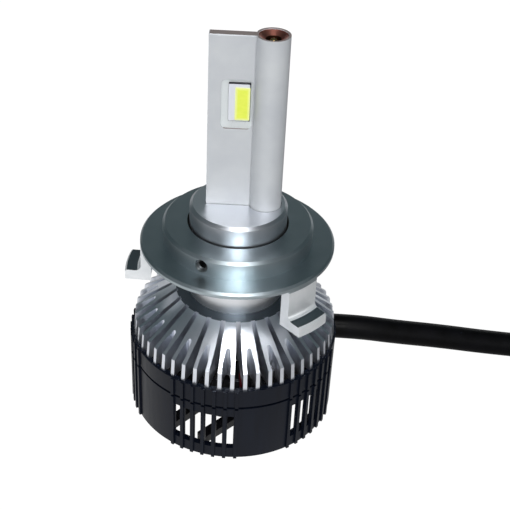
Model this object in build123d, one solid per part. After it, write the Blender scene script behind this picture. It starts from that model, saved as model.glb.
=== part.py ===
from build123d import *
import os
from math import cos, pi, radians, sin, sqrt, tan

# LED headlight bulb, in millimetres.
# +Z runs along the bulb's axis, away from the fan and towards the tip of the lamp mast.
# The origin is on that axis, in the collar's upper face, where the lamp housing is met.
# Azimuths are in degrees about +Z, and start at -Y, the side that the front LED faces.

# ---- driving dimensions -------------------------------------------------------------
light_centre_z = 25.0
axis_xy = (0, 0)

# lamp mast: a plate with a round tube along one edge
mast_top_z = 36.0
mast_foot_z = -1.5
plate_left_x = -5.3
plate_thickness = 1.7
plate_edge_chamfer = 0.12
mast_groove_radius = 0.12
tube_x = 4.22
tube_radius = 2.62
pipe_radius = 2.25
pipe_bottom_z = -13.6
pipe_top_recess = 0.12
pipe_funnel_depth = 0.55
pipe_mouth_radius = 2.1
pipe_throat_radius = 1.15
pipe_throat_depth = 1.2

# light sources, one on each face of the plate
pocket_width = 4.8
pocket_height = 8.3
pocket_offset_x = -0.9
pocket_offset_z = -0.35
pocket_depth = 0.3
pocket_corner = 0.8
package_width = 3.35
package_height = 6.4
package_offset_x = -0.47
package_offset_z = 0.15
package_thickness = 0.6
phosphor_width = 2.3
phosphor_height = 5.5
phosphor_thickness = 0.12
feed_wire_radius = 0.25
feed_wire_clearance = 0.03
feed_wire_x = (-1.4, 0.1)
feed_wire_top = -3.3

# barrel: the turned body that carries the mast and the collar
barrel_radius = 8.0
barrel_top_z = 6.7
barrel_chamfer = 0.5
mast_seam = 0.15
mast_seam_depth = 0.4
spigot_radius = 7.0
spigot_bottom_z = -14.0

# collar: locating ring, seating flange and three hooked lugs
collar_clearance = 0.04
ring_radius = 12.4
ring_height = 3.2
ring_chamfer = 0.45
bore_chamfer = 0.25
flange_radius = 16.1
flange_thickness = 1.2
flange_edge = 0.35
lug_azimuths = (-93.0, 43.5, 155.2)
lug_width = 6.0
lug_thickness = 1.7
lug_reach_radius = 18.75
lug_foot_thickness = 1.85
lug_bottom_z = -8.35
lug_scoop = 1.0
lug_edge = 0.3

# grub screw that clamps the collar on the barrel
grub_azimuth = -25.4
grub_z = 1.62
grub_radius = 1.1
grub_hole_radius = 1.14
grub_inner_r = 8.1
grub_length = 3.7
grub_socket = 1.25
grub_socket_depth = 1.5
grub_chamfer = 0.3

# heat sink: a core with forked fins
disc_radius = 10.2
disc_z = -10.15
knee_radius = 17.2
knee_z = -15.25
rim_radius = 17.45
rim_z = -18.5
core_radius = 10.0
fork_count = 26
fork_azimuth = -2.2
trunk_half_width = 0.75
split_radius = 13.5
split_half_width = 1.18
tine_outer_half = 1.4
tine_inner_half = 0.72
slot_apex_radius = 13.7
slot_full_radius = 16.0
slot_arch_half = 0.36
cavity_radius = 7.6
cavity_top_z = -14.3

# shroud: the slotted plastic skirt round the fan
shroud_radius = 17.8
shroud_wall = 1.0
shroud_bottom_z = -33.35
groove_z = -22.1
groove_width = 0.45
groove_depth = 0.4
rib_height = 0.35
rib_root = 0.5
rib_angle = 1.8
slot_angle = 3.5
slot_pitch = 6.0
slots_per_group = 6
slot_wall = 0.35  # the wall is this thin where the slots are
slot_top_z = -24.0
slot_bottom_z = -31.2
group_azimuths = (-146.8, -80.4, -14.0, 52.4, 155.0)
ledge_radius = 15.9
ledge_top_z = -32.1
ledge_bottom_z = -32.55

# fan frame and its three screws, which go up into the slots of three forks
frame_radius = 16.7
frame_ring_inner = 15.5
frame_bottom_z = -33.1
frame_ring_top_z = -32.6
arm_top_z = -31.6
arm_width = 1.9
arm_reach = 15.8
arm_azimuths = (-42.0, 25.5, 138.0, -132.0)
guard_bar_offset = 7.0
guard_bar_azimuth = -45.0
base_radius = 8.6
base_top_z = -32.1
duct_inner = 13.2
duct_outer = 13.9
duct_top_z = -19.8
duct_bottom_z = -24.4
post_forks = (-8, 2, 11)
post_radius = 1.7
post_circle = 14.95
post_clearance = 0.1
screw_radius = 0.85
screw_head_radius = 1.3
screw_head_height = 1.1
screw_top_z = -16.8
screw_slot = (2.0, 0.4, 0.5)

# fan motor and rotor
bearing_tube_radius = 2.4
bearing_radius = 1.5
shaft_radius = 0.75
shaft_clearance = 0.03
shaft_bottom_z = -31.9
shaft_top_z = -20.8
bearing_top_z = -22.7
bearing_bottom_z = -31.2
hub_radius = 7.2
hub_top_z = -20.2
hub_bottom_z = -30.4
hub_wall = 0.45
hub_crown = 1.2
hub_edge = 0.6
magnet_thickness = 0.5
magnet_bottom_gap = 0.6
magnet_top_gap = 0.8
shaft_well_gap = 0.35
stator_core_wall = 0.8
stator_radius = 5.9
stator_top_z = -24.4
stator_bottom_z = -28.9
pole_count = 4
pole_width = 1.6
pole_shoe = 0.7
shoe_angle = 66.0
coil_width = 2.9
coil_overhang = 0.6
coil_corner = 0.5
board_top_z = -31.3
fan_board_radius = 6.0
blade_count = 9
blade_radius = 12.8
blade_top_z = -20.4
blade_bottom_z = -24.2
blade_thickness = 0.6
blade_pitch = 38.0

# driver electronics inside the heat sink's core
driver_board_radius = 7.2
driver_board_top_z = -17.3
driver_board_thickness = 1.0

# leads and cable
lead_radius = 0.45
lead_level_z = -19.1
lead_start_radius = 6.6
lead_bend = 0.6
lead_gap = 0.4
fan_lead_azimuths = (7.6, 15.5)
power_lead_azimuths = (116.0, 138.0)
power_lead_y = (8.7, 9.9)
power_lead_x = 11.5
exit_x = 17.6
exit_y = 9.3
exit_z = -25.4
grommet_radius = 3.0
grommet_inner_x = 12.6
grommet_edge = 0.4
cable_radius = 2.25
table_z = shroud_bottom_z
cable_z = table_z + cable_radius
coil_centre = (78.5, -11.8)
coil_outer_turn = 24.8
coil_turn_step = 4.7
cable_coil_edge = 1.0
tie_width = 2.6
tie_thickness = 0.45
tie_slack = 0.08
tie_lock_length = 3.4
tie_lock_inset = 1.2
tie_lock_height = 1.3
tie_lock_lip = 0.3
tie_azimuth = 78.0
connector_x = 110.6
connector_y = -17.0
boot_length = 8.0
plug_length = 15.0
plug_width = 13.0
plug_height = 7.6
plug_corner = 1.4
plug_rib_rise = 0.5
plug_rib_corner = 1.6
plug_rib_start = 2.6
plug_rib_end = 4.2
blade_terminal = (0.8, 4.8, 8.0)
terminal_spacing = 6.4
terminal_chamfer = 0.25


# ---- helpers ------------------------------------------------------------------------
def polar(radius, azimuth, z=0.0):
    """A point at an azimuth that starts at -Y and turns towards +X."""
    a = radians(azimuth)
    return (radius * sin(a), -radius * cos(a), z)


def turned(shape, azimuth):
    """Turns a shape that was made at the front, on -Y, round to an azimuth."""
    return Rot(0, 0, azimuth) * shape


def disc(radius, bottom, top, centre=axis_xy):
    """A solid cylinder along Z between two heights."""
    return Pos(centre[0], centre[1], (bottom + top) / 2) * Cylinder(radius, top - bottom)


def tube(outer, inner, bottom, top, centre=axis_xy):
    """A hollow cylinder along Z between two heights."""
    return disc(outer, bottom, top, centre) - disc(inner, bottom - 1, top + 1, centre)


def block(x0, x1, y0, y1, z0, z1):
    """A box between two corners."""
    middle = ((x0 + x1) / 2, (y0 + y1) / 2, (z0 + z1) / 2)
    return Pos(*middle) * Box(x1 - x0, y1 - y0, z1 - z0)


def along_x(radius, x0, x1, y, z):
    """A solid cylinder along X between two places."""
    return Pos((x0 + x1) / 2, y, z) * Rot(0, 90, 0) * Cylinder(radius, x1 - x0)


def revolved(points):
    """Turns a closed outline of (radius, z) points round the Z axis."""
    return revolve(make_face(Plane.XZ * Polyline(*points, close=True)), Axis.Z)


def pipe_along(points, radii, radius):
    """A round tube along straight runs that are joined by tangent arcs."""
    path = FilletPolyline(*points, radius=radii)
    section = Plane(origin=path @ 0, z_dir=path % 0) * Circle(radius)
    return sweep(section, path=path), path


def corner_radii(points):
    """For each corner, 0.45 of its shorter run over the tangent of half its turn."""
    radii = []
    for before, corner, after in zip(points, points[1:], points[2:]):
        run_in = Vector(*corner) - Vector(*before)
        run_out = Vector(*after) - Vector(*corner)
        half_turn = radians(run_in.get_angle(run_out)) / 2
        radii.append(0.45 * min(run_in.length, run_out.length) / tan(half_turn))
    return radii


def save(name, *solids):
    """Writes one node: a single solid, or a group of separate ones."""
    shape = solids[0] if len(solids) == 1 else Compound(children=list(solids))
    shape.label = name
    export_step(shape, f"parts/{name}.step")


# ---- lamp mast ----------------------------------------------------------------------
def mast_profile(bottom, top, gap=0.0):
    """The mast's section: a flat plate that runs into a round tube, with a gap all round it."""
    half = plate_thickness / 2 + gap
    plate = block(plate_left_x - gap, tube_x, -half, half, bottom, top)
    return plate + disc(tube_radius + gap, bottom, top, (tube_x, 0))


def light_block(width, height, offset_x, offset_z, y0, y1):
    """A block on the plate's front face, centred near the light centre."""
    z = light_centre_z + offset_z
    return block(offset_x - width / 2, offset_x + width / 2, y0, y1, z - height / 2, z + height / 2)


def lamp_mast():
    half = plate_thickness / 2
    mast = mast_profile(mast_foot_z, mast_top_z)
    top_edges = mast.edges().group_by(Axis.Z)[-1]
    mast = chamfer(top_edges.filter_by(GeomType.LINE), plate_edge_chamfer)
    mast -= disc(pipe_radius, mast_foot_z - 1, mast_top_z + 1, (tube_x, 0))
    groove_x = tube_x - sqrt(tube_radius ** 2 - half ** 2)
    mast -= [disc(mast_groove_radius, mast_foot_z - 1, mast_top_z + 1, (groove_x, y)) for y in (-half, half)]
    pocket = light_block(pocket_width, pocket_height, pocket_offset_x, pocket_offset_z,
                         -half - 1, -half + pocket_depth)
    pocket = fillet(pocket.edges().filter_by(Axis.Y), pocket_corner)
    mast -= [pocket, mirror(pocket, Plane.XZ)]
    hole = feed_wire_radius + feed_wire_clearance
    top = light_centre_z + feed_wire_top + 0.1
    return mast - [disc(hole, mast_foot_z - 1, top, (x, 0)) for x in feed_wire_x]


def heat_pipe():
    """A copper pipe whose end is spun inwards to a small sealed throat."""
    top = mast_top_z - pipe_top_recess
    pipe = disc(pipe_radius, pipe_bottom_z, top)
    funnel = revolved([(0, top + 1), (pipe_mouth_radius, top + 1), (pipe_mouth_radius, top),
                       (pipe_throat_radius, top - pipe_funnel_depth), (0, top - pipe_funnel_depth)])
    throat_top = top - pipe_funnel_depth
    throat = disc(pipe_throat_radius, throat_top - pipe_throat_depth, throat_top + 0.1)
    return Pos(tube_x, 0, 0) * (pipe - funnel - throat)


def led_package():
    floor = -plate_thickness / 2 + pocket_depth
    return light_block(package_width, package_height, package_offset_x, package_offset_z,
                       floor - package_thickness, floor)


def led_phosphor():
    face = -plate_thickness / 2 + pocket_depth - package_thickness
    return light_block(phosphor_width, phosphor_height, 0, 0, face - phosphor_thickness, face)


def feed_wires():
    top = light_centre_z + feed_wire_top
    return [disc(feed_wire_radius, driver_board_top_z, top, (x, 0)) for x in feed_wire_x]


# ---- barrel, collar and grub screw --------------------------------------------------
def barrel():
    body = revolved([(0, spigot_bottom_z), (spigot_radius, spigot_bottom_z),
                     (spigot_radius, disc_z), (barrel_radius, disc_z),
                     (barrel_radius, barrel_top_z - barrel_chamfer),
                     (barrel_radius - barrel_chamfer, barrel_top_z), (0, barrel_top_z)])
    body -= mast_profile(mast_foot_z, barrel_top_z + 1)
    body -= mast_profile(barrel_top_z - mast_seam_depth, barrel_top_z + 1, mast_seam)
    body -= disc(pipe_radius, pipe_bottom_z, mast_foot_z + 1, (tube_x, 0))
    hole = feed_wire_radius + feed_wire_clearance
    return body - [disc(hole, spigot_bottom_z - 1, mast_foot_z + 1, (x, 0)) for x in feed_wire_x]


def lug():
    """A tab under the flange's edge with an outward hook, made at the front."""
    inner = flange_radius - lug_thickness
    top = -flange_thickness + flange_edge
    foot_top = lug_bottom_z + lug_foot_thickness
    scoop_out = (flange_radius + lug_scoop, foot_top)
    scoop_in = (flange_radius, foot_top + lug_scoop)
    dip = lug_scoop * (1 - cos(radians(45)))
    outline = [Polyline(scoop_in, (flange_radius, top), (inner, top), (inner, lug_bottom_z),
                        (lug_reach_radius, lug_bottom_z), (lug_reach_radius, foot_top - lug_edge),
                        (lug_reach_radius - lug_edge, foot_top), scoop_out),
               ThreePointArc(scoop_out, (flange_radius + dip, foot_top + dip), scoop_in)]
    ring = revolve(Plane.XZ * make_face(outline), Axis.Z)
    side = lug_width / 2
    return ring & block(-side, side, -lug_reach_radius - 1, 0, lug_bottom_z - 1, 0)


def collar():
    bore = barrel_radius + collar_clearance
    body = revolved([(bore, -flange_thickness), (flange_radius - flange_edge, -flange_thickness),
                     (flange_radius, -flange_thickness + flange_edge), (flange_radius, -flange_edge),
                     (flange_radius - flange_edge, 0), (ring_radius, 0),
                     (ring_radius, ring_height - ring_chamfer),
                     (ring_radius - ring_chamfer, ring_height),
                     (bore + bore_chamfer, ring_height), (bore, ring_height - bore_chamfer)])
    body += [turned(lug(), azimuth) for azimuth in lug_azimuths]
    hole = Pos(0, -(bore + ring_radius) / 2, grub_z) * Rot(90, 0, 0)
    hole *= Cylinder(grub_hole_radius, ring_radius - bore + 3)
    return body - turned(hole, grub_azimuth)


def set_screw():
    """A short headless screw with a hexagon socket, lying along a radius."""
    body = Cylinder(grub_radius, grub_length, align=(Align.CENTER, Align.CENTER, Align.MIN))
    body = chamfer(body.edges().group_by(Axis.Z)[0], grub_chamfer)
    socket = extrude(RegularPolygon(grub_socket / 2, 6, major_radius=False), grub_socket_depth)
    body -= Pos(0, 0, grub_length - grub_socket_depth) * socket
    body = Pos(0, -grub_inner_r, grub_z) * Rot(90, 0, 0) * body
    return turned(body, grub_azimuth)


# ---- heat sink ----------------------------------------------------------------------
def post_centres():
    """Where the fan's posts and screws stand, each in line with one fork's slot."""
    azimuths = [fork_azimuth + fork * 360 / fork_count for fork in post_forks]
    return [polar(post_circle, azimuth)[:2] for azimuth in azimuths]


def fork_section():
    """One forked fin in plan, pointing along -Y: a trunk that splits into two tines."""
    inner, outer = core_radius - 1.0, rim_radius + 0.5
    right = [(trunk_half_width, -inner), (split_half_width, -split_radius), (tine_outer_half, -outer)]
    left = [(-x, y) for x, y in reversed(right)]
    trunk = make_face(Polyline(*right, *left, close=True))
    arch_end = -slot_apex_radius - slot_arch_half
    arch = ThreePointArc((-slot_arch_half, arch_end), (0, -slot_apex_radius), (slot_arch_half, arch_end))
    mouth = Polyline((slot_arch_half, arch_end), (tine_inner_half, -slot_full_radius),
                     (tine_inner_half, -outer - 1), (-tine_inner_half, -outer - 1),
                     (-tine_inner_half, -slot_full_radius), (-slot_arch_half, arch_end))
    return trunk - make_face([arch, mouth])


def heat_sink():
    fork = extrude(Pos(0, 0, rim_z) * fork_section(), disc_z - rim_z)
    pitch = 360 / fork_count
    forks = [turned(fork, fork_azimuth + k * pitch) for k in range(fork_count)]
    envelope = revolved([(0, rim_z), (rim_radius, rim_z), (knee_radius, knee_z),
                         (disc_radius, disc_z), (0, disc_z)])
    body = (disc(core_radius, rim_z, disc_z) + forks) & envelope
    body -= disc(spigot_radius, cavity_top_z - 1, disc_z + 1)
    body -= disc(cavity_radius, rim_z - 1, cavity_top_z)
    return body - [disc(screw_radius, rim_z - 1, screw_top_z, centre) for centre in post_centres()]


# ---- shroud -------------------------------------------------------------------------
def sector(inner, outer, angle, bottom, top):
    """A block of a ring, as wide as an angle, made at the front."""
    half = outer * tan(radians(angle / 2))
    wedge = make_face(Polyline((0, 0), (half, -outer), (-half, -outer), close=True))
    wedge = extrude(Pos(0, 0, bottom) * wedge, top - bottom)
    return wedge & tube(outer, inner, bottom, top)


def shroud():
    """The skirt, with a raised rib on each side of each slot and an inner ledge for the fan frame."""
    inner = shroud_radius - shroud_wall
    body = revolved([(inner, rim_z), (shroud_radius, rim_z), (shroud_radius, shroud_bottom_z),
                     (inner, shroud_bottom_z), (inner, ledge_bottom_z), (ledge_radius, ledge_bottom_z),
                     (ledge_radius, ledge_top_z), (inner, ledge_top_z)])
    outer = shroud_radius + rib_height
    rib = sector(shroud_radius - rib_root, outer, rib_angle, shroud_bottom_z, rim_z)
    slot = sector(inner - 0.1, outer + 1, slot_angle, slot_bottom_z, slot_top_z)
    ribs, slots = [], []
    for group in group_azimuths:
        first = group - slots_per_group * slot_pitch / 2
        ribs += [turned(rib, first + k * slot_pitch) for k in range(slots_per_group + 1)]
        slots += [turned(slot, first + (k + 0.5) * slot_pitch) for k in range(slots_per_group)]
    body = body + ribs - slots
    body -= tube(shroud_radius - slot_wall, inner - 0.1, slot_bottom_z, slot_top_z)
    half = groove_width / 2
    body -= tube(outer + 1, shroud_radius - groove_depth, groove_z - half, groove_z + half)
    for centre in post_centres():
        body -= disc(post_radius + post_clearance, ledge_bottom_z - 1, ledge_top_z + 1, centre)
    return body - along_x(grommet_radius, grommet_inner_x - 1, exit_x + 1, exit_y, exit_z)


# ---- fan ----------------------------------------------------------------------------
def fan_frame():
    frame = tube(frame_radius, frame_ring_inner, frame_bottom_z, frame_ring_top_z)
    frame += tube(duct_outer, duct_inner, duct_bottom_z, duct_top_z)
    frame += disc(base_radius, frame_bottom_z, base_top_z)
    frame += disc(bearing_tube_radius, base_top_z - 0.1, bearing_top_z)
    side = arm_width / 2
    arm = block(-side, side, -arm_reach, -base_radius + 0.4, frame_bottom_z, arm_top_z)
    frame += [turned(arm, azimuth) for azimuth in arm_azimuths]
    far = sqrt(arm_reach ** 2 - (guard_bar_offset + side) ** 2)
    near = sqrt((base_radius - 0.4) ** 2 - guard_bar_offset ** 2)
    bar = block(guard_bar_offset - side, guard_bar_offset + side, -far, -near, frame_bottom_z, arm_top_z)
    frame += turned(bar, guard_bar_azimuth)
    for centre in post_centres():
        frame += disc(post_radius, frame_bottom_z, duct_top_z, centre)
    frame &= disc(frame_radius, frame_bottom_z, duct_top_z)
    for centre in post_centres():
        frame -= disc(screw_radius, frame_bottom_z - 1, duct_top_z + 1, centre)
        frame -= disc(screw_head_radius, frame_bottom_z - 1, frame_bottom_z + screw_head_height, centre)
    frame -= disc(bearing_radius, bearing_bottom_z, bearing_top_z + 1)
    return frame - disc(shaft_radius + shaft_well_gap, base_top_z - 0.3, bearing_bottom_z + 1)


def fan_screws():
    head_bottom = frame_bottom_z
    head_top = frame_bottom_z + screw_head_height
    screw = disc(screw_head_radius, head_bottom, head_top) + disc(screw_radius, head_top, screw_top_z)
    length, width, depth = screw_slot
    slot = block(-length / 2, length / 2, -width / 2, width / 2, head_bottom - 1, head_bottom + depth)
    screw -= [slot, Rot(0, 0, 90) * slot]
    return [Pos(*centre) * screw for centre in post_centres()]


def fan_bearing():
    return tube(bearing_radius, shaft_radius + shaft_clearance, bearing_bottom_z, bearing_top_z)


def fan_stator():
    ring = tube(bearing_tube_radius + stator_core_wall, bearing_tube_radius, stator_bottom_z, stator_top_z)
    shoes = tube(stator_radius, stator_radius - pole_shoe, stator_bottom_z, stator_top_z)
    side = pole_width / 2
    for k in range(pole_count):
        arm = block(-side, side, -stator_radius + 0.3, -bearing_tube_radius - 0.3,
                    stator_bottom_z, stator_top_z)
        shoe = shoes & sector(1, stator_radius + 1, shoe_angle, stator_bottom_z, stator_top_z)
        ring += turned(arm + shoe, k * 360 / pole_count)
    return ring


def fan_coils():
    """One winding round each pole of the stator."""
    inner, outer = bearing_tube_radius + 0.9, stator_radius - pole_shoe - 0.35
    side = coil_width / 2
    coil = block(-side, side, -outer, -inner, stator_bottom_z - coil_overhang,
                 stator_top_z + coil_overhang)
    coil = fillet(coil.edges().filter_by(Axis.Y), coil_corner)
    side = pole_width / 2
    coil -= block(-side, side, -outer - 1, -inner + 1, stator_bottom_z, stator_top_z)
    keep = sector(0.5, stator_radius, 90, stator_bottom_z - 1, stator_top_z + 1)
    return [turned(coil & keep, k * 360 / pole_count) for k in range(pole_count)]


def fan_board():
    return tube(fan_board_radius, bearing_tube_radius, base_top_z, board_top_z)


def fan_shaft():
    return disc(shaft_radius, shaft_bottom_z, shaft_top_z)


def fan_rotor():
    """A hub cup with twisted blades."""
    cup = disc(hub_radius, hub_bottom_z, hub_top_z)
    cup = fillet(cup.edges().group_by(Axis.Z)[-1], hub_edge)
    cup -= disc(hub_radius - hub_wall, hub_bottom_z - 1, hub_top_z - hub_crown)
    cup -= disc(shaft_radius, hub_bottom_z, shaft_top_z)
    length = blade_radius - hub_radius + 3
    chord = (blade_top_z - blade_bottom_z) / cos(radians(blade_pitch)) + 2
    plate = Box(blade_thickness, length, chord)
    plate = Pos(0, -hub_radius - length / 2 + 1, (blade_top_z + blade_bottom_z) / 2) * (
        Rot(0, blade_pitch, 0) * plate)
    reach = tube(blade_radius, hub_radius - hub_wall / 2, blade_bottom_z, blade_top_z)
    blade = plate & reach
    return cup + [turned(blade, k * 360 / blade_count) for k in range(blade_count)]


def fan_magnet():
    outer = hub_radius - hub_wall
    return tube(outer, outer - magnet_thickness, hub_bottom_z + magnet_bottom_gap,
                hub_top_z - hub_crown - magnet_top_gap)


# ---- driver electronics and leads ---------------------------------------------------
def driver_board():
    bottom = driver_board_top_z - driver_board_thickness
    return disc(driver_board_radius, bottom, driver_board_top_z)


def driver_parts():
    """Two chokes, a capacitor, two chips and a row of resistors on the board."""
    top = driver_board_top_z
    parts = [fillet(block(-6.0, -2.8, -1.8, 1.4, top, top + 2.2).edges().filter_by(Axis.Z), 0.6),
             fillet(block(2.0, 4.8, 1.6, 4.4, top, top + 2.0).edges().filter_by(Axis.Z), 0.6)]
    parts.append(disc(1.5, top, top + 2.6, (-1.6, 4.6)))
    parts.append(block(1.6, 5.0, -3.4, -0.6, top, top + 1.0))
    parts.append(block(-3.6, -0.6, -5.6, -3.2, top, top + 0.9))
    parts += [block(x, x + 0.6, -5.6, -4.4, top, top + 0.5) for x in (1.2, 2.4, 3.6)]
    return parts


def lead_start(azimuth):
    """Where a lead leaves the driver board, and the bend just below it."""
    board_bottom = driver_board_top_z - driver_board_thickness
    return [polar(lead_start_radius, azimuth, board_bottom),
            polar(lead_start_radius, azimuth, lead_level_z)]


def fan_lead(azimuth):
    """A lead from the driver board, over the fan duct and down to the fan's own board."""
    outer = duct_outer + lead_radius + lead_gap
    low = arm_top_z + lead_radius + 0.05
    points = lead_start(azimuth) + [
        polar(outer, azimuth, lead_level_z), polar(outer, azimuth, low),
        polar(fan_board_radius, azimuth, low)]
    return pipe_along(points, lead_bend, lead_radius)[0]


def power_lead(azimuth, y):
    """A lead from the driver board to the inner face of the cable grommet."""
    points = lead_start(azimuth) + [
        (power_lead_x, y, lead_level_z), (power_lead_x, y, exit_z), (grommet_inner_x, y, exit_z)]
    return pipe_along(points, lead_bend, lead_radius)[0]


def cable_grommet():
    """A rubber bush in the shroud's wall, pointing the way the cable leaves."""
    body = along_x(grommet_radius, grommet_inner_x, exit_x, exit_y, exit_z)
    return fillet(body.edges().group_by(Axis.X)[-1], grommet_edge)


# ---- cable --------------------------------------------------------------------------
def coil_point(radius, angle, rise=0.0):
    """A point over the coil, at a radius and an angle about its centre."""
    a = radians(angle)
    return (coil_centre[0] + radius * cos(a), coil_centre[1] + radius * sin(a), cable_z + rise)


cable_route = [(exit_x, exit_y, exit_z), (22.6, exit_y, exit_z), (30.0, 10.0, -26.7),
               (38.5, 11.1, -28.1), (47.5, 12.1, -29.8), (57.0, 12.8, -31.0), (66.5, 13.0, -31.1)]
tail_route = [coil_point(20.9, 66, 1.6), coil_point(22.6, 53, 3.9), coil_point(25.2, 41, 4.8),
              coil_point(27.8, 29, 4.2), coil_point(30.2, 17, 2.2),
              (connector_x, connector_y + 7.5, cable_z + 0.5), (connector_x, connector_y, cable_z + 0.5)]


def cable_coil():
    """The outer shape of the coiled length: one closed ring lying on the table."""
    outer = coil_outer_turn + cable_radius
    inner = coil_outer_turn - coil_turn_step - cable_radius
    ring = tube(outer, inner, table_z, table_z + 2 * cable_radius, coil_centre)
    return fillet(ring.edges(), cable_coil_edge)


def cable_tie():
    """A flat band round both strands of the coil, with its lock on top."""
    outer = coil_outer_turn + cable_radius
    inner = coil_outer_turn - coil_turn_step - cable_radius
    side = tie_width / 2
    top = table_z + 2 * cable_radius
    band = block(inner - tie_thickness, outer + tie_thickness, -side, side, table_z, top + tie_thickness)
    band -= block(inner - tie_slack, outer + tie_slack, -side - 1, side + 1, table_z - 1, top)
    lock_end = outer - tie_lock_inset
    lock = block(lock_end - tie_lock_length, lock_end, -side - tie_lock_lip, side + tie_lock_lip,
                 top + tie_thickness, top + tie_thickness + tie_lock_height)
    return Pos(coil_centre[0], coil_centre[1], 0) * Rot(0, 0, tie_azimuth) * (band + lock)


def connector_boot():
    """A tapered strain relief with two grooves, ending in the plug's back."""
    steps = [(0, 0), (cable_radius + 0.35, 0), (cable_radius + 0.6, 2.0), (cable_radius + 0.25, 2.3),
             (cable_radius + 0.25, 3.0), (cable_radius + 0.8, 3.3), (cable_radius + 0.95, 5.0),
             (cable_radius + 0.55, 5.3), (cable_radius + 0.55, 6.0), (cable_radius + 1.15, 6.3),
             (cable_radius + 1.3, boot_length), (0, boot_length)]
    boot = revolved(steps)
    boot = Pos(connector_x, connector_y, cable_z + 0.5) * Rot(90, 0, 0) * boot
    return boot & block(0, 200, -100, 100, table_z, 0)


def connector_plug():
    """A two-pole plug body with rounded sides and a raised rib to pull it by."""
    back = connector_y - boot_length
    front = back - plug_length
    side = plug_width / 2
    body = block(connector_x - side, connector_x + side, front, back, table_z, table_z + plug_height)
    body = fillet(body.edges().filter_by(Axis.Y), plug_corner)
    rib_side = side + plug_rib_rise
    rib = block(connector_x - rib_side, connector_x + rib_side, back - plug_rib_end,
                back - plug_rib_start, table_z, table_z + plug_height + plug_rib_rise)
    return body + fillet(rib.edges().filter_by(Axis.Y), plug_rib_corner)


def connector_terminals():
    """Two flat blades that stand out of the plug's face."""
    front = connector_y - boot_length - plug_length
    thick, width, length = blade_terminal
    middle = table_z + plug_height / 2
    terminals = []
    for x in (connector_x - terminal_spacing / 2, connector_x + terminal_spacing / 2):
        blade = block(x - thick / 2, x + thick / 2, front - length, front,
                      middle - width / 2, middle + width / 2)
        terminals.append(chamfer(blade.edges().group_by(Axis.Y)[0].filter_by(Axis.Z), terminal_chamfer))
    return terminals


# ---- build --------------------------------------------------------------------------
def main():
    os.makedirs("parts", exist_ok=True)
    save("heat_sink", heat_sink())
    save("barrel", barrel())
    save("lamp_mast", lamp_mast())
    save("heat_pipe", heat_pipe())
    save("led_package_front", led_package())
    save("led_package_back", mirror(led_package(), Plane.XZ))
    save("led_phosphor_front", led_phosphor())
    save("led_phosphor_back", mirror(led_phosphor(), Plane.XZ))
    save("led_feed_wires", *feed_wires())
    save("collar", collar())
    save("set_screw", set_screw())
    save("shroud", shroud())
    save("fan_frame", fan_frame())
    save("fan_screws", *fan_screws())
    save("fan_bearing", fan_bearing())
    save("fan_stator", fan_stator())
    save("fan_coils", *fan_coils())
    save("fan_board", fan_board())
    save("fan_shaft", fan_shaft())
    save("fan_rotor", fan_rotor())
    save("fan_magnet", fan_magnet())
    save("driver_board", driver_board())
    save("driver_parts", *driver_parts())
    save("fan_lead_red", fan_lead(fan_lead_azimuths[0]))
    save("fan_lead_black", fan_lead(fan_lead_azimuths[1]))
    save("power_lead_red", power_lead(power_lead_azimuths[0], power_lead_y[0]))
    save("power_lead_black", power_lead(power_lead_azimuths[1], power_lead_y[1]))
    save("cable_grommet", cable_grommet())

    for name, route in (("cable", cable_route), ("cable_tail", tail_route)):
        radii = corner_radii(route)
        solid, path = pipe_along(route, radii, cable_radius)
        save(name, solid)
        section = pi * cable_radius ** 2
        print(name, "radii", [round(r, 1) for r in radii], "length", round(path.length, 2),
              "volume ratio", round(solid.volume / (section * path.length), 4))
    save("cable_coil", cable_coil())
    save("cable_tie", cable_tie())
    save("connector_boot", connector_boot())
    save("connector_plug", connector_plug())
    save("connector_terminals", *connector_terminals())


main()
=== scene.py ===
from math import cos, pi, radians, sin

import bmesh
import bpy
from mathutils import Matrix, Vector


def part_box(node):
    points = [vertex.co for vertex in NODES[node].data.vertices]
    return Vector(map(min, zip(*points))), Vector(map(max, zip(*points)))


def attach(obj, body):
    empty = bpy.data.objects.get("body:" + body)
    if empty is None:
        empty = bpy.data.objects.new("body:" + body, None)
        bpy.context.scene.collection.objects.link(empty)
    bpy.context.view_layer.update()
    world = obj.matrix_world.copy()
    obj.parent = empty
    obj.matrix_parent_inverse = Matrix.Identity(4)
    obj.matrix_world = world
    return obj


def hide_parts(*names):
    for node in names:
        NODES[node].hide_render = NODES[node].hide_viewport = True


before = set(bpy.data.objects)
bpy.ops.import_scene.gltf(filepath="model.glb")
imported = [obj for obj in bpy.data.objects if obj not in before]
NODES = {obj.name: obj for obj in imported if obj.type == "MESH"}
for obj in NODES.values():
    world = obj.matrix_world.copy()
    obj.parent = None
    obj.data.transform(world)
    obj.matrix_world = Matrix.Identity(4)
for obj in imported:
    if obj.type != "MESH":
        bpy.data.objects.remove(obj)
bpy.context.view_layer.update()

# LED headlight bulb: camera, cord, materials and finer pieces around the fixed CAD frame.
# Lengths are in metres unless a name ends in _MM or a docstring says millimetres.
MM = 0.001
ROOT_BODY = "housing"


def new_object(name, data):
    """An object that holds the data, linked into the scene."""
    made = bpy.data.objects.new(name, data)
    bpy.context.scene.collection.objects.link(made)
    return made


# ---- camera -------------------------------------------------------------------------
# Fitted to the photo. Right and up shift the camera across its line of sight. The lens and
# the sensor are in millimetres, as Blender has them.
CAMERA_DISTANCE = 0.179012
CAMERA_ELEVATION = radians(35.2018)
CAMERA_ROLL = radians(2.8132)
CAMERA_RIGHT = 0.0028784
CAMERA_UP = -0.0031350
CAMERA_LENS = 76.235
CAMERA_SENSOR = 36
CAMERA_NEAREST = 0.005


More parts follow.
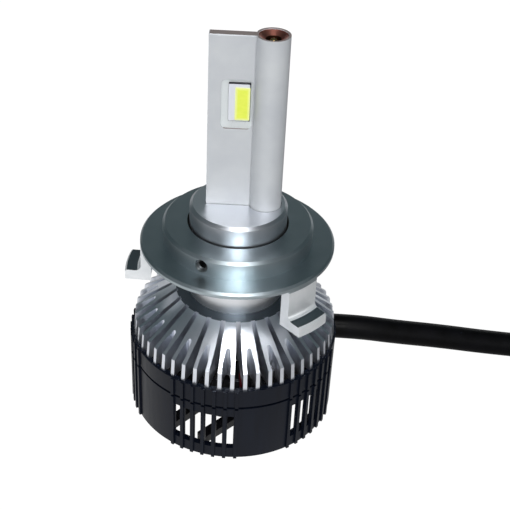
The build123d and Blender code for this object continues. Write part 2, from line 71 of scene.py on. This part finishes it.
def make_camera():
    """A camera in front of the bulb that looks down at it, with a slight roll."""
    right = Vector((1, 0, 0))
    forward = Vector((0, cos(CAMERA_ELEVATION), -sin(CAMERA_ELEVATION)))
    up = Vector((0, sin(CAMERA_ELEVATION), cos(CAMERA_ELEVATION)))
    side = right * cos(CAMERA_ROLL) + up * sin(CAMERA_ROLL)
    top = up * cos(CAMERA_ROLL) - right * sin(CAMERA_ROLL)
    centre = -forward * CAMERA_DISTANCE + side * CAMERA_RIGHT + top * CAMERA_UP
    camera = new_object("camera", bpy.data.cameras.new("camera"))
    camera.data.lens = CAMERA_LENS
    camera.data.sensor_width = CAMERA_SENSOR
    camera.data.clip_start = CAMERA_NEAREST
    turn = Matrix((side, top, -forward)).transposed()
    camera.matrix_world = Matrix.Translation(centre) @ turn.to_4x4()
    bpy.context.scene.camera = camera


make_camera()

# ---- cable --------------------------------------------------------------------------
CABLE_RADIUS_MM = 2.25
TABLE_Z_MM = -33.35
CABLE_Z_MM = TABLE_Z_MM + CABLE_RADIUS_MM
EXIT_MM = (17.6, 9.3, -25.4)
COIL_CENTRE_MM = (78.5, -11.8)
COIL_OUTER_MM = 24.8
COIL_STEP_MM = 4.7
COIL_POINTS = 14
COIL_START_DEGREES = 84
COIL_SLACK_MM = 0.3
COIL_RISE_MM = 0.4
COIL_FLAT_SHARE = 0.93
COIL_RISE_SHARE = 0.07
CONNECTOR_X_MM = 110.6
CONNECTOR_Y_MM = -17.0
TAIL_STRAIGHT_MM = 7.5
TAIL_LIFT_MM = 0.5
SPLINE_STEPS = 12
BEVEL_STEPS = 8


def coil_point(radius, angle, rise=0.0):
    """A point in millimetres, at a radius and an angle in degrees round the coil's centre."""
    a = radians(angle)
    return (COIL_CENTRE_MM[0] + radius * cos(a), COIL_CENTRE_MM[1] + radius * sin(a), CABLE_Z_MM + rise)


LEAD_IN_MM = [EXIT_MM, (22.6, 9.3, -25.4), (30.0, 10.0, -26.7), (38.5, 11.1, -28.1),
              (47.5, 12.1, -29.8), (57.0, 12.8, -31.0), (66.5, 13.0, -31.1)]
TAIL_MM = [coil_point(22.6, 53, 3.9), coil_point(25.2, 41, 4.8), coil_point(27.8, 29, 4.2),
           coil_point(30.2, 17, 2.2),
           (CONNECTOR_X_MM, CONNECTOR_Y_MM + TAIL_STRAIGHT_MM, CABLE_Z_MM + TAIL_LIFT_MM),
           (CONNECTOR_X_MM, CONNECTOR_Y_MM, CABLE_Z_MM + TAIL_LIFT_MM)]


def coil_turn_mm():
    """Points in millimetres on one clockwise turn that shrinks by the coil's step."""
    points = []
    for k in range(COIL_POINTS + 1):
        share = k / COIL_POINTS
        rise = COIL_RISE_MM * max(0.0, share - COIL_FLAT_SHARE) / COIL_RISE_SHARE
        points.append(coil_point(COIL_OUTER_MM + COIL_SLACK_MM - COIL_STEP_MM * share,
                                 COIL_START_DEGREES - 360 * share, rise))
    return points


def make_cable():
    """One open spline through the lead-in, the coil's turn and the tail."""
    points = LEAD_IN_MM + coil_turn_mm() + TAIL_MM
    curve = bpy.data.curves.new("power_cable", "CURVE")
    curve.dimensions = "3D"
    spline = curve.splines.new("NURBS")
    spline.points.add(len(points) - 1)
    for target, point in zip(spline.points, points):
        target.co = (*(c * MM for c in point), 1)
        target.radius = CABLE_RADIUS_MM * MM
    spline.order_u = 3
    spline.use_endpoint_u = True
    spline.resolution_u = SPLINE_STEPS
    curve.bevel_depth = 1.0  # times each point's radius
    curve.bevel_resolution = BEVEL_STEPS
    curve.use_fill_caps = True
    cable = new_object("power_cable", curve)
    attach(cable, ROOT_BODY)
    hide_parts("cable", "cable_coil", "cable_tail")
    return cable


CABLE = make_cable()


# ---- node helpers -------------------------------------------------------------------
RING_PITCH = 0.00005
RING_DEPTH = 0.0000001
# Height counts this much beside the distance, so flat and upright faces both get rings.
RING_SLOPE = 0.61
# The least Z part of a normal that faces up.
UP_LIMIT = 0.9


def parts_of(material):
    """A material's node tree and its principled shader."""
    return material.node_tree, material.node_tree.nodes["Principled BSDF"]


def new_material(name):
    """A material with its node tree and its principled shader."""
    material = bpy.data.materials.new(name)
    material.use_nodes = True
    return material, *parts_of(material)


def connect(tree, value, socket):
    """Links a socket, or sets a plain value."""
    if isinstance(value, bpy.types.NodeSocket):
        tree.links.new(value, socket)
    else:
        socket.default_value = value


def add(tree, kind, inputs=(), **settings):
    """A shader node with its settings, and its inputs linked or set."""
    node = tree.nodes.new("ShaderNode" + kind)
    for key, value in settings.items():
        setattr(node, key, value)
    for key, value in dict(inputs).items():
        connect(tree, value, node.inputs[key])
    return node


def calc(tree, operation, a, b=0.0):
    """One step of arithmetic on sockets or plain values."""
    return add(tree, "Math", {0: a, 1: b}, operation=operation).outputs[0]


def place(tree, scale=(1, 1, 1)):
    """Position on the object in its own frame, stretched along each axis."""
    point = add(tree, "TexCoord").outputs["Object"]
    return add(tree, "Mapping", {"Vector": point, "Scale": scale}).outputs[0]


def noise(tree, vector, scale, detail=3.0, roughness=0.55):
    """Noise, mostly between 0.3 and 0.7, with a scale in cells per metre."""
    sockets = {"Vector": vector, "Scale": scale, "Detail": detail, "Roughness": roughness}
    return add(tree, "TexNoise", sockets).outputs[0]


def spread(tree, value, low, high, start=0.3, end=0.7):
    """Maps start to end, by default a noise value's usual range, onto low to high."""
    sockets = {"Value": value, "From Min": start, "From Max": end, "To Min": low, "To Max": high}
    return add(tree, "MapRange", sockets).outputs[0]


def tint(tree, factor, first, second):
    """Mixes two colours. The node's colour sockets are inputs 6 and 7 and output 2."""
    node = add(tree, "Mix", data_type="RGBA")
    connect(tree, factor, node.inputs[0])
    connect(tree, (*first, 1) if isinstance(first, tuple) else first, node.inputs[6])
    connect(tree, (*second, 1) if isinstance(second, tuple) else second, node.inputs[7])
    return node.outputs[2]


def bump(tree, height, depth, below=None):
    """Relief of a real depth in metres, laid over another relief if one is given."""
    sockets = {"Height": height, "Distance": depth, "Strength": 1.0}
    if below is not None:
        sockets["Normal"] = below
    return add(tree, "Bump", sockets).outputs[0]


def from_axis(tree, axis_x):
    """Position on the object, measured from an upright axis at that x."""
    point = add(tree, "TexCoord").outputs["Object"]
    return add(tree, "VectorMath", {0: point, 1: (axis_x, 0, 0)}, operation="SUBTRACT").outputs[0]


def around_axis(tree, axis_x):
    """The direction that lathe rings run in, round an upright axis."""
    ring = add(tree, "VectorMath", {0: (0, 0, 1), 1: from_axis(tree, axis_x)},
               operation="CROSS_PRODUCT")
    turn = add(tree, "VectorTransform", {0: ring.outputs[0]}, vector_type="VECTOR",
               convert_from="OBJECT", convert_to="WORLD")
    return turn.outputs[0]


def axis_reach(tree, axis_x):
    """The distance from an upright axis, and the height."""
    point = add(tree, "SeparateXYZ", {0: from_axis(tree, axis_x)}).outputs
    square = calc(tree, "ADD", calc(tree, "MULTIPLY", point[0], point[0]),
                  calc(tree, "MULTIPLY", point[1], point[1]))
    return calc(tree, "SQRT", square), point[2]


def rings(tree, axis_x):
    """Fine lathe rings: noise along the distance from the axis plus the height."""
    reach, height = axis_reach(tree, axis_x)
    lift = calc(tree, "MULTIPLY", height, RING_SLOPE)
    along = calc(tree, "MULTIPLY", calc(tree, "ADD", reach, lift), 1 / RING_PITCH)
    sockets = {"W": along, "Scale": 1.0, "Detail": 3.0}
    return add(tree, "TexNoise", sockets, noise_dimensions="1D").outputs[0]


def inside(tree, value, middle, half):
    """1 where a value is within half of the middle, else 0."""
    gap = calc(tree, "ABSOLUTE", calc(tree, "SUBTRACT", value, middle))
    return calc(tree, "LESS_THAN", gap, half)


def facing_up(tree):
    """1 on surfaces that face upwards."""
    normal = add(tree, "SeparateXYZ", {0: add(tree, "NewGeometry").outputs["Normal"]}).outputs
    return calc(tree, "GREATER_THAN", normal[2], UP_LIMIT)


def shade_mask(tree, shader, mask, colour, rougher):
    """Changes a shader's colour and adds to its roughness where the mask is 1."""
    before = shader.inputs["Base Color"].links[0].from_socket
    connect(tree, tint(tree, mask, before, colour), shader.inputs["Base Color"])
    rough = shader.inputs["Roughness"].links[0].from_socket
    added = calc(tree, "MULTIPLY", mask, rougher)
    connect(tree, calc(tree, "ADD", rough, added), shader.inputs["Roughness"])


# ---- materials ----------------------------------------------------------------------
# Where a piece's material changes, or where painted shade or painted light begins.
LUG_TOP_Z_MM = -1.22
BORE_MM = 8.15
# Half width of the painted shadow round the bore.
BORE_SHADOW_MM = 0.2
THROAT_MM = 1.18
POCKET_REACH_MM = 3.0
POCKET_TALLER = 1.6
POCKET_FLOOR_MM = 0.62
SHOWN_LEAD_MM = 12.8
SHOWN_LEAD_LOW_MM = -20.6
# Colours of the finishes that have more than one, and of the painted shade and painted light on some
# faces.
LUG_LIGHT = (0.84, 0.86, 0.88)
LUG_DARK = (0.74, 0.77, 0.79)
MAST_LIGHT = (0.54, 0.56, 0.58)
MAST_DARK = (0.47, 0.49, 0.52)
MILLED = (0.67, 0.71, 0.72)
# Painted shade for the mast's up-facing saw-cut end.
SAWN_TOP_SHADE = (0.24, 0.20, 0.19)
# Painted shade for the heat sink's up-facing faces.
SINK_TOP_SHADE = (0.09, 0.11, 0.13)
# Painted shade for the tops of the lugs' feet.
FOOT_TOP_SHADE = (0.05, 0.07, 0.08)
# Painted light for the barrel's neck under the collar.
NECK_PAINTED_LIGHT = (0.96, 0.97, 0.99)
# Painted light for the barrel's up-facing faces.
BARREL_TOP_LIGHT = (0.82, 0.84, 0.88)
# Painted shadow for the gap round the bore.
BORE_GAP_SHADOW = (0.02, 0.02, 0.02)
# Painted shade inside the copper pipe's throat.
THROAT_SHADE = (0.10, 0.05, 0.03)
# Grain and streaks in metres. The stretch draws streaks out along Z.
GRAIN_SIZE = 0.00012
GRAIN_DEPTH = 0.000003
LUG_SCRATCH_DEPTH = 0.000002
SINK_STREAK_DEPTH = 0.0000002
DRAWN_STRETCH = (9, 9, 0.35)

PIPE_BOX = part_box("heat_pipe")
PIPE_X = (PIPE_BOX[0].x + PIPE_BOX[1].x) / 2


def turned_metal(name, light, dark, smooth, rough, anisotropy=0.6, axis_x=0.0):
    """Lathe-turned metal: fine rings, and highlights drawn out across them."""
    material, tree, shader = new_material(name)
    lines = rings(tree, axis_x)
    cloud = noise(tree, place(tree), 260, 4)
    shader.inputs["Metallic"].default_value = 1.0
    shader.inputs["Anisotropic"].default_value = anisotropy
    shader.inputs["Anisotropic Rotation"].default_value = 0.25  # a quarter turn
    connect(tree, around_axis(tree, axis_x), shader.inputs["Tangent"])
    connect(tree, tint(tree, spread(tree, cloud, 0, 1), dark, light), shader.inputs["Base Color"])
    connect(tree, spread(tree, lines, smooth, rough), shader.inputs["Roughness"])
    connect(tree, bump(tree, lines, RING_DEPTH), shader.inputs["Normal"])
    return material


def drawn_metal(name, light, dark, smooth, rough, metallic=1.0, streak_depth=0.000001):
    """Extruded metal: fine streaks along the way it was drawn."""
    material, tree, shader = new_material(name)
    streaks = noise(tree, place(tree, DRAWN_STRETCH), 900, 5, 0.6)
    grain = noise(tree, place(tree), 9000, 2)
    cloud = noise(tree, place(tree), 180, 3)
    shader.inputs["Metallic"].default_value = metallic
    connect(tree, tint(tree, spread(tree, cloud, 0, 1), dark, light), shader.inputs["Base Color"])
    connect(tree, spread(tree, streaks, smooth, rough), shader.inputs["Roughness"])
    relief = bump(tree, streaks, streak_depth)
    connect(tree, bump(tree, grain, streak_depth, relief), shader.inputs["Normal"])
    return material


def plastic(name, light, dark, smooth, rough, gloss=0.5, streaks=(1, 1, 1)):
    """Moulded plastic with a fine spark-eroded grain."""
    material, tree, shader = new_material(name)
    grain = noise(tree, place(tree), 1 / GRAIN_SIZE, 2)
    cloud = noise(tree, place(tree, streaks), 320, 3)
    shader.inputs["Specular IOR Level"].default_value = gloss
    connect(tree, tint(tree, spread(tree, cloud, 0, 1), dark, light), shader.inputs["Base Color"])
    connect(tree, spread(tree, cloud, smooth, rough), shader.inputs["Roughness"])
    connect(tree, bump(tree, grain, GRAIN_DEPTH), shader.inputs["Normal"])
    return material


def sink_metal():
    """Extruded, with painted shade and more roughness on the faces that look up, round the barrel's foot.
    """
    material = drawn_metal("sink_aluminium", (0.83, 0.86, 0.92), (0.75, 0.78, 0.84), 0.28, 0.33,
                           streak_depth=SINK_STREAK_DEPTH)
    tree, shader = parts_of(material)
    # Painted shade: the faces that look up are darkened and roughened.
    shade_mask(tree, shader, facing_up(tree), SINK_TOP_SHADE, 0.15)
    return material


def barrel_metal():
    """Turned, with painted light: brighter on the neck under the collar and on faces that look up."""
    material = turned_metal("turned_barrel", (0.60, 0.63, 0.67), (0.54, 0.56, 0.60), 0.30, 0.38, 0.15)
    tree, shader = parts_of(material)
    neck = calc(tree, "LESS_THAN", axis_reach(tree, 0.0)[1], LUG_TOP_Z_MM * MM)
    # Painted light: the neck under the collar is brightened.
    shade_mask(tree, shader, neck, NECK_PAINTED_LIGHT, 0.0)
    # Painted light: faces that look up are brightened.
    shade_mask(tree, shader, facing_up(tree), BARREL_TOP_LIGHT, 0.0)
    return material


def mast_metal():
    """Drawn along its length, with a rougher saw-cut top end darkened by painted shade, and a brighter
    milled floor in each pocket.
    """
    material = drawn_metal("mast_aluminium", MAST_LIGHT, MAST_DARK, 0.44, 0.54, 0.2)
    tree, shader = parts_of(material)
    low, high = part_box("led_package_front")
    point = add(tree, "SeparateXYZ", {0: from_axis(tree, 0.0)}).outputs
    milled = calc(tree, "MULTIPLY", inside(tree, point[0], (low.x + high.x) / 2, POCKET_REACH_MM * MM),
                  inside(tree, point[2], (low.z + high.z) / 2, POCKET_REACH_MM * MM * POCKET_TALLER))
    milled = calc(tree, "MULTIPLY", milled, inside(tree, point[1], 0.0, POCKET_FLOOR_MM * MM))
    shade_mask(tree, shader, milled, MILLED, -0.18)
    # Painted shade: the up-facing saw-cut end is darkened; the added roughness is its sawn finish.
    shade_mask(tree, shader, facing_up(tree), SAWN_TOP_SHADE, 0.1)
    return material


def collar_metal(light, dark):
    """Lathe rings above with a painted shadow round the bore; the lugs below have a plain satin finish,
    with painted shade on the tops of their feet.
    """
    material = turned_metal("turned_collar", light, dark, 0.30, 0.37, 0.15)
    tree, rings_shader = parts_of(material)
    reach, height = axis_reach(tree, 0.0)
    # Painted shadow: a dark, rougher band round the bore's edge, where the barrel stands in the ring.
    shade_mask(tree, rings_shader, inside(tree, reach, BORE_MM * MM, BORE_SHADOW_MM * MM), BORE_GAP_SHADOW, 0.2)
    lug_shader = tree.nodes.new("ShaderNodeBsdfPrincipled")
    lug_shader.inputs["Metallic"].default_value = 0.6
    cloud = noise(tree, place(tree), 420, 4)
    scratches = noise(tree, place(tree, (3, 3, 0.5)), 2600, 4, 0.7)
    satin = tint(tree, spread(tree, cloud, 0, 1), LUG_DARK, LUG_LIGHT)
    connect(tree, satin, lug_shader.inputs["Base Color"])
    connect(tree, spread(tree, scratches, 0.28, 0.44), lug_shader.inputs["Roughness"])
    connect(tree, bump(tree, scratches, LUG_SCRATCH_DEPTH), lug_shader.inputs["Normal"])
    # Painted shade: the up-facing tops of the lugs' feet are darkened.
    shade_mask(tree, lug_shader, facing_up(tree), FOOT_TOP_SHADE, 0.0)
    below = calc(tree, "LESS_THAN", height, LUG_TOP_Z_MM * MM)
    mix = add(tree, "MixShader", {0: below, 1: rings_shader.outputs[0], 2: lug_shader.outputs[0]})
    connect(tree, mix.outputs[0], tree.nodes["Material Output"].inputs["Surface"])
    return material


def spun_copper():
    """Spun copper, with painted shade inside the throat."""
    material = turned_metal("spun_copper", (0.55, 0.22, 0.16), (0.36, 0.13, 0.10), 0.34, 0.5, 0.2, PIPE_X)
    tree, shader = parts_of(material)
    throat = calc(tree, "LESS_THAN", axis_reach(tree, PIPE_X)[0], THROAT_MM * MM)
    # Painted shade: dark inside the throat.
    shade_mask(tree, shader, throat, THROAT_SHADE, 0.0)
    return material


def sleeved_lead(red, black):
    """Red insulation at the bend over the fan's duct, under black sleeving elsewhere."""
    material = plastic("sleeved_lead", red, red, 0.35, 0.5, 0.2)
    tree, shader = parts_of(material)
    reach, height = axis_reach(tree, 0.0)
    sleeve = calc(tree, "MAXIMUM", calc(tree, "LESS_THAN", reach, SHOWN_LEAD_MM * MM),
                  calc(tree, "LESS_THAN", height, SHOWN_LEAD_LOW_MM * MM))
    shade_mask(tree, shader, sleeve, black, 0.1)
    return material


def paint(material, *names):
    """Gives a material to CAD nodes."""
    for name in names:
        slots = NODES[name].data.materials
        slots.clear()
        slots.append(material)


def paint_all():
    """A material for every CAD node that stays visible, and for the cable."""
    paint(collar_metal((0.44, 0.50, 0.53), (0.39, 0.45, 0.48)), "collar")
    paint(barrel_metal(), "barrel")
    paint(mast_metal(), "lamp_mast")
    paint(sink_metal(), "heat_sink")
    paint(spun_copper(), "heat_pipe")
    paint(drawn_metal("black_steel", (0.22, 0.21, 0.21), (0.10, 0.10, 0.10), 0.25, 0.4),
          "set_screw", "fan_screws")
    paint(drawn_metal("bright_steel", (0.62, 0.62, 0.64), (0.5, 0.5, 0.52), 0.25, 0.4),
          "fan_shaft", "fan_stator")
    paint(turned_metal("bearing_bronze", (0.62, 0.45, 0.22), (0.45, 0.31, 0.15), 0.3, 0.4), "fan_bearing")
    paint(turned_metal("coil_copper", (0.80, 0.40, 0.20), (0.6, 0.28, 0.13), 0.25, 0.4), "fan_coils")
    paint(plastic("shroud_plastic", (0.003, 0.005, 0.011), (0.002, 0.003, 0.007), 0.30, 0.42, 0.15,
                  streaks=(4, 4, 0.3)), "shroud")
    paint(plastic("fan_plastic", (0.010, 0.010, 0.012), (0.006, 0.006, 0.008), 0.34, 0.48, 0.2),
          "fan_frame", "fan_rotor")
    paint(plastic("magnet_ferrite", (0.05, 0.045, 0.045), (0.03, 0.03, 0.03), 0.5, 0.7), "fan_magnet")
    paint(plastic("board_laminate", (0.02, 0.12, 0.06), (0.012, 0.085, 0.04), 0.3, 0.45),
          "driver_board", "fan_board")
    paint(plastic("component_epoxy", (0.03, 0.03, 0.033), (0.015, 0.015, 0.018), 0.4, 0.6), "driver_parts")
    red = plastic("red_insulation", (0.16, 0.005, 0.008), (0.10, 0.003, 0.005), 0.35, 0.5, 0.2)
    paint(red, "power_lead_red", "led_feed_wires")
    paint(sleeved_lead((0.05, 0.003, 0.006), (0.012, 0.012, 0.014)), "fan_lead_red")
    paint(plastic("black_insulation", (0.02, 0.02, 0.022), (0.012, 0.012, 0.014), 0.3, 0.42),
          "fan_lead_black", "power_lead_black")
    paint(plastic("rubber", (0.018, 0.018, 0.02), (0.01, 0.01, 0.012), 0.5, 0.65),
          "cable_grommet", "connector_boot", "cable_tie")
    paint(plastic("plug_nylon", (0.02, 0.02, 0.022), (0.012, 0.012, 0.014), 0.36, 0.5), "connector_plug")
    paint(drawn_metal("terminal_brass", (0.80, 0.62, 0.30), (0.66, 0.50, 0.22), 0.2, 0.34),
          "connector_terminals")
    sleeve = plastic("cable_sleeve", (0.003, 0.003, 0.004), (0.002, 0.002, 0.002), 0.34, 0.46, 0.07)
    CABLE.data.materials.append(sleeve)


paint_all()


# ---- LEDs and pipe tip --------------------------------------------------------------
LED_DIES = 4
# Half a die's height as a share of the pitch; the rest is seam.
DIE_HALF = 0.47
SEAM_DEPTH = 0.000012
# The tile's height over its width, so its pale edge is as wide at the ends as at the sides.
TILE_TALLER = 2.4
LED_FRAME_MM = 0.2
# The frame is inset at its top, right and bottom, so the near-black slab shows there as painted shade.
LED_INSET_MM = 0.14
SHADE_SLAB_CORNER = 0.00008
SHADE_SLAB_EDGE = 0.00003
FRAME_CORNER = 0.00018
TILE_CORNER = 0.00015
LED_EDGE = 0.00005
CORNER_SEGMENTS = 5
EDGE_SEGMENTS = 3
SHARP_EDGE = radians(60)
TIP_RADIUS_MM = 0.8
TIP_DEPTH_MM = 1.25
TIP_SEGMENTS = 32


def slab(name, low, high, corner, edge, material):
    """A slab that faces along Y, with rounded corners and softened edges."""
    shape = bmesh.new()
    bmesh.ops.create_cube(shape, size=1.0)
    for vertex in shape.verts:
        vertex.co = Vector(a + (c + 0.5) * (b - a) for a, b, c in zip(low, high, vertex.co))
    upright = [e for e in shape.edges if abs(e.verts[0].co.y - e.verts[1].co.y) > 1e-6]
    bmesh.ops.bevel(shape, geom=upright, offset=corner, segments=CORNER_SEGMENTS, profile=0.5,
                    affect="EDGES")
    rim = [e for e in shape.edges if e.calc_face_angle(0.0) > SHARP_EDGE]
    bmesh.ops.bevel(shape, geom=rim, offset=edge, segments=EDGE_SEGMENTS, profile=0.5, affect="EDGES")
    mesh = bpy.data.meshes.new(name)
    shape.to_mesh(mesh)
    shape.free()
    mesh.materials.append(material)
    piece = new_object(name, mesh)
    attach(piece, ROOT_BODY)
    return piece


def from_edge(tree, value):
    """The distance to the nearer end of a 0 to 1 range."""
    return calc(tree, "SUBTRACT", 0.5, calc(tree, "ABSOLUTE", calc(tree, "SUBTRACT", value, 0.5)))


def phosphor():
    """Yellow silicone over the dies, paler towards its edges, with faint seams between dies."""
    material, tree, shader = new_material("led_phosphor")
    across = add(tree, "SeparateXYZ", {0: add(tree, "TexCoord").outputs["Generated"]}).outputs
    edge_x = from_edge(tree, across[0])
    edge_z = from_edge(tree, across[2])
    edge = calc(tree, "MINIMUM", edge_x, calc(tree, "MULTIPLY", edge_z, TILE_TALLER))
    cloud = noise(tree, place(tree, (1, 1, 2.5)), 900, 3)
    body = tint(tree, spread(tree, cloud, 0, 1), (0.68, 0.77, 0.07), (0.73, 0.80, 0.10))
    colour = tint(tree, spread(tree, edge, 1, 0, 0.02, 0.20), body, (0.78, 0.82, 0.36))
    dies = calc(tree, "FRACT", calc(tree, "MULTIPLY", across[2], LED_DIES))
    raised = inside(tree, dies, 0.5, DIE_HALF)
    grain = noise(tree, place(tree), 9000, 2)
    connect(tree, colour, shader.inputs["Base Color"])
    connect(tree, spread(tree, cloud, 0.42, 0.56), shader.inputs["Roughness"])
    relief = bump(tree, raised, SEAM_DEPTH)
    connect(tree, bump(tree, grain, GRAIN_DEPTH, relief), shader.inputs["Normal"])
    return material


def make_leds():
    """Front and back: a near-black slab that shows as painted shade round the frame's top, right and
    bottom, a white ceramic frame on it, and the phosphor.
    """
    ceramic = plastic("led_ceramic", (0.64, 0.66, 0.70), (0.60, 0.62, 0.68), 0.32, 0.46,
                      streaks=(6, 1, 0.6))
    # Painted shade: a near-black slab that stands in for the shade round the package.
    dark = drawn_metal("led_shade_slab", (0.02, 0.02, 0.03), (0.01, 0.01, 0.015), 0.4, 0.55, 0.3)
    yellow = phosphor()
    for side, out in (("front", -1), ("back", 1)):
        low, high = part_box("led_package_" + side)
        floor_y, face_y = (high.y, low.y) if out < 0 else (low.y, high.y)
        step = face_y - out * LED_FRAME_MM * MM
        inset = LED_INSET_MM * MM
        ends = sorted((floor_y, step))
        slab("led_shade_slab_" + side, (low.x, ends[0], low.z), (high.x, ends[1], high.z),
             SHADE_SLAB_CORNER, SHADE_SLAB_EDGE, dark)
        ends = sorted((step, face_y))
        frame_piece = slab("led_frame_" + side, (low.x, ends[0], low.z + inset),
                           (high.x - inset, ends[1], high.z - inset),
                           FRAME_CORNER, LED_EDGE, ceramic)
        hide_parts("led_package_" + side)
        low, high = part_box("led_phosphor_" + side)
        tile = slab("led_tile_" + side, low, high, TILE_CORNER, LED_EDGE, yellow)
        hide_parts("led_phosphor_" + side)


make_leds()


def make_pipe_tip():
    """A ball of gold-coloured braze in the pipe's throat, guessed from a glint."""
    shape = bmesh.new()
    bmesh.ops.create_uvsphere(shape, u_segments=TIP_SEGMENTS, v_segments=TIP_SEGMENTS // 2,
                              radius=TIP_RADIUS_MM * MM)
    mesh = bpy.data.meshes.new("pipe_tip")
    shape.to_mesh(mesh)
    shape.free()
    for face in mesh.polygons:
        face.use_smooth = True
    mesh.transform(Matrix.Translation((PIPE_X, 0, PIPE_BOX[1].z - TIP_DEPTH_MM * MM)))
    braze = turned_metal("braze", (0.70, 0.50, 0.22), (0.40, 0.25, 0.10), 0.16, 0.3, 0.1, PIPE_X)
    mesh.materials.append(braze)
    tip = new_object("pipe_tip", mesh)
    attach(tip, ROOT_BODY)


make_pipe_tip()


# ---- floor and light ----------------------------------------------------------------
FLOOR_HALF = 1.6
FLOOR_GAP = 0.00002
POOL_CENTRE = (-0.02, -0.045, TABLE_Z_MM * MM)
POOL_SIZE = (0.055, 0.09, 1.0)
POOL_GLOW = 0.8
FLOOR_GLOW = 0.3
# The pool fades from its glow to the floor's between these shares of its size.
POOL_CORE = 0.5
POOL_RIM = 1.25
ROOM_FRONT = (0.10, 0.11, 0.12)
ROOM_BACK = (0.050, 0.076, 0.082)
# Each light's name, centre, width, height and radiance. All are turned to the origin.
LIGHTS = (
    ("key", (0.03, -0.28, 0.69), 0.24, 0.22, 12),
    ("flash", (0.0, -0.58, 0.44), 0.46, 0.22, 6.6),
    ("flash_core", (0.045, -0.58, 0.42), 0.13, 0.15, 15),
    ("front_fill", (0.0, -0.75, 0.12), 1.1, 0.35, 1.1),
    ("back_fill", (0.0, 0.75, 0.12), 1.1, 0.25, 1.0),
    ("left_fill", (-0.72, -0.36, 0.10), 0.5, 0.45, 1.5),
    ("right_fill", (0.72, -0.36, 0.10), 0.5, 0.45, 1.3),
)


def make_floor():
    """Plain white to the camera; to the object a dimmer glow with a brighter pool."""
    z = TABLE_Z_MM * MM - FLOOR_GAP
    mesh = bpy.data.meshes.new("floor")
    corners = [(x * FLOOR_HALF, y * FLOOR_HALF, z) for x, y in ((-1, -1), (1, -1), (1, 1), (-1, 1))]
    mesh.from_pydata(corners, [], [(0, 1, 2, 3)])
    material, tree, shader = new_material("floor_light_table")
    point = add(tree, "TexCoord").outputs["Object"]
    aside = add(tree, "VectorMath", {0: point, 1: POOL_CENTRE}, operation="SUBTRACT").outputs[0]
    aside = add(tree, "VectorMath", {0: aside, 1: POOL_SIZE}, operation="DIVIDE").outputs[0]
    reach = add(tree, "VectorMath", {0: aside}, operation="LENGTH").outputs["Value"]
    pool = spread(tree, reach, POOL_GLOW, FLOOR_GLOW, POOL_CORE, POOL_RIM)
    plain = add(tree, "LightPath").outputs["Is Camera Ray"]
    unseen = calc(tree, "MULTIPLY", pool, calc(tree, "SUBTRACT", 1.0, plain))
    glow = calc(tree, "ADD", unseen, plain)
    shader.inputs["Base Color"].default_value = (0.05, 0.05, 0.05, 1)
    shader.inputs["Roughness"].default_value = 0.9
    shader.inputs["Specular IOR Level"].default_value = 0.0
    shader.inputs["Emission Color"].default_value = (1, 1, 1, 1)
    connect(tree, glow, shader.inputs["Emission Strength"])
    mesh.materials.append(material)
    floor = new_object("floor", mesh)


def softbox(name, centre, width, height, radiance):
    """A rectangular area light that faces the origin."""
    light = bpy.data.lights.new(name, "AREA")
    light.shape = "RECTANGLE"
    light.size, light.size_y = width, height
    light.energy = radiance * width * height * pi
    lamp = new_object(name, light)
    lamp.location = centre
    lamp.rotation_euler = Vector(centre).to_track_quat("Z", "Y").to_euler()


def make_world():
    """Plain white to the camera; in reflections a dim room, darker and cooler to the back."""
    world = bpy.data.worlds.new("studio")
    world.use_nodes = True
    tree = world.node_tree
    point = add(tree, "SeparateXYZ", {0: add(tree, "TexCoord").outputs["Generated"]}).outputs
    back = add(tree, "MapRange", {"Value": point[1], "From Min": -0.7, "From Max": 0.5}).outputs[0]
    shade = tint(tree, back, ROOM_FRONT, ROOM_BACK)
    plain = add(tree, "LightPath").outputs["Is Camera Ray"]
    shade = tint(tree, plain, shade, (1, 1, 1))
    background = tree.nodes["Background"]
    connect(tree, shade, background.inputs["Color"])
    background.inputs["Strength"].default_value = 1.0
    bpy.context.scene.world = world


make_floor()
make_world()
for light_row in LIGHTS:
    softbox(*light_row)
bpy.context.scene.view_settings.view_transform = "Standard"
